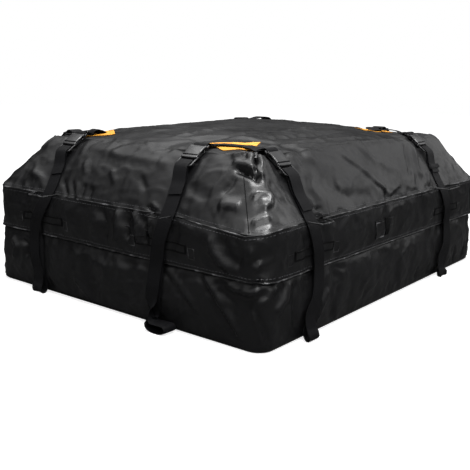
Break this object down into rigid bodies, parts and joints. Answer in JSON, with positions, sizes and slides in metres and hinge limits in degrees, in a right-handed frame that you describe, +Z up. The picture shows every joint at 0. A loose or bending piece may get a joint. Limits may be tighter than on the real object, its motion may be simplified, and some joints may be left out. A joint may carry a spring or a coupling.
{
  "type": "roof cargo bag",
  "caption": "Soft roof cargo bag of coated tarpaulin, filled and zipped shut, with webbing straps and side-release buckles over a sloped, domed lid.",
  "frame": {"origin": "middle of the base, on the ground", "axes": "+X along the long side, -Y the front long side, +Z up"},
  "size_m": [1.2036, 0.9654, 0.412],
  "materials": {
    "tarpaulin": "satin coated tarpaulin",
    "webbing": "woven polyester",
    "buckle_acetal": "moulded gloss",
    "orange_cloth": "coated cloth",
    "zip_coil": "matt"
  },
  "bodies": {
    "bag": {"base_panel": "tarpaulin", "lower_band": "tarpaulin", "upper_band": "tarpaulin", "top_cover": "tarpaulin", "lower_zip_tape": "zip_coil", "upper_zip_tape": "zip_coil", "flap_tab": "tarpaulin", "front_left_corner_patch": "orange_cloth", "front_right_corner_patch": "orange_cloth", "back_right_corner_patch": "orange_cloth", "back_left_corner_patch": "orange_cloth", "front_left_corner_webbing": "webbing", "front_right_corner_webbing": "webbing", "back_right_corner_webbing": "webbing", "back_left_corner_webbing": "webbing", "front_left_buckle_socket": "buckle_acetal", "front_left_strap": "webbing", "front_left_band_patch": "webbing", "front_right_buckle_socket": "buckle_acetal", "front_right_strap": "webbing", "front_right_band_patch": "webbing", "right_front_buckle_socket": "buckle_acetal", "right_front_strap": "webbing", "right_front_band_patch": "webbing", "right_back_buckle_socket": "buckle_acetal", "right_back_strap": "webbing", "right_back_band_patch": "webbing", "back_right_buckle_socket": "buckle_acetal", "back_right_strap": "webbing", "back_right_band_patch": "webbing", "back_left_buckle_socket": "buckle_acetal", "back_left_strap": "webbing", "back_left_band_patch": "webbing", "left_back_buckle_socket": "buckle_acetal", "left_back_strap": "webbing", "left_back_band_patch": "webbing", "left_front_buckle_socket": "buckle_acetal", "left_front_strap": "webbing", "left_front_band_patch": "webbing"},
    "front_left_clip": {"front_left_buckle_clip": "buckle_acetal"},
    "front_right_clip": {"front_right_buckle_clip": "buckle_acetal"},
    "right_front_clip": {"right_front_buckle_clip": "buckle_acetal"},
    "right_back_clip": {"right_back_buckle_clip": "buckle_acetal"},
    "back_right_clip": {"back_right_buckle_clip": "buckle_acetal"},
    "back_left_clip": {"back_left_buckle_clip": "buckle_acetal"},
    "left_back_clip": {"left_back_buckle_clip": "buckle_acetal"},
    "left_front_clip": {"left_front_buckle_clip": "buckle_acetal"},
    "zip_left": {"zip_slider_left": "zip_coil", "zip_pull_left": "webbing"},
    "zip_right": {"zip_slider_right": "zip_coil", "zip_pull_right": "webbing"}
  },
  "joints": [
    {"name": "front_left_clip_pull", "type": "slide", "parent": "bag", "child": "front_left_clip", "axis": [0, -0.7691, -0.6391], "range_m": [0, 0.026], "deforming": ["front_left_strap"]},
    {"name": "front_right_clip_pull", "type": "slide", "parent": "bag", "child": "front_right_clip", "axis": [0, -0.7867, -0.6173], "range_m": [0, 0.026], "deforming": ["front_right_strap"]},
    {"name": "right_front_clip_pull", "type": "slide", "parent": "bag", "child": "right_front_clip", "axis": [0.841, 0, -0.5411], "range_m": [0, 0.026], "deforming": ["right_front_strap"]},
    {"name": "right_back_clip_pull", "type": "slide", "parent": "bag", "child": "right_back_clip", "axis": [0.8322, 0, -0.5545], "range_m": [0, 0.026], "deforming": ["right_back_strap"]},
    {"name": "back_right_clip_pull", "type": "slide", "parent": "bag", "child": "back_right_clip", "axis": [0, 0.7867, -0.6173], "range_m": [0, 0.026], "deforming": ["back_right_strap"]},
    {"name": "back_left_clip_pull", "type": "slide", "parent": "bag", "child": "back_left_clip", "axis": [0, 0.7691, -0.6391], "range_m": [0, 0.026], "deforming": ["back_left_strap"]},
    {"name": "left_back_clip_pull", "type": "slide", "parent": "bag", "child": "left_back_clip", "axis": [-0.8322, 0, -0.5545], "range_m": [0, 0.026], "deforming": ["left_back_strap"]},
    {"name": "left_front_clip_pull", "type": "slide", "parent": "bag", "child": "left_front_clip", "axis": [-0.841, 0, -0.5411], "range_m": [0, 0.026], "deforming": ["left_front_strap"]},
    {"name": "zip_left_run", "type": "slide", "parent": "bag", "child": "zip_left", "axis": [-1, 0, 0], "range_m": [0, 0.4]},
    {"name": "zip_right_run", "type": "slide", "parent": "bag", "child": "zip_right", "axis": [1, 0, 0], "range_m": [0, 0.52]}
  ]
}
